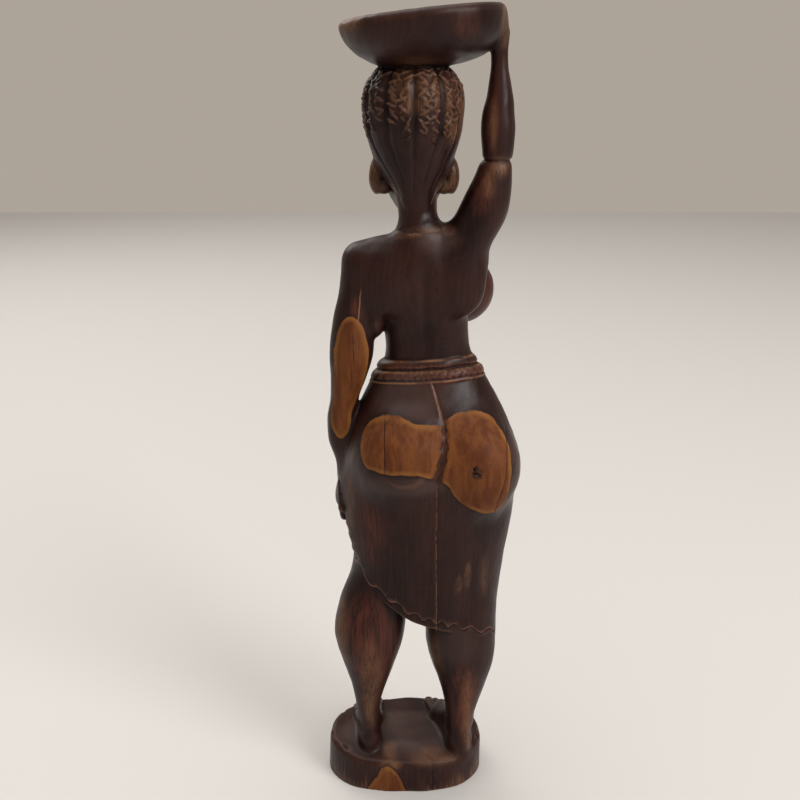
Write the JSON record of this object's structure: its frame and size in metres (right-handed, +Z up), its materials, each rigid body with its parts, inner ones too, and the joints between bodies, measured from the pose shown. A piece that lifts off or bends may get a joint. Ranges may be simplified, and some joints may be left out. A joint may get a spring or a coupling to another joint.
{
  "type": "carved wooden figure",
  "caption": "Standing woman carved in dark hardwood, carrying a wide bowl on her head with one raised arm, in a wrap skirt, on an oval base.",
  "frame": {"origin": "middle of the base's flat underside, at the surface it stands on", "axes": "+Z up through the bowl, +Y towards the figure's back, +X towards her left side; her face looks along -Y"},
  "size_m": [0.125, 0.0887, 0.5043],
  "materials": {
    "hardwood": "satin"
  },
  "bodies": {
    "root": {"figure": "hardwood"}
  },
  "joints": []
}
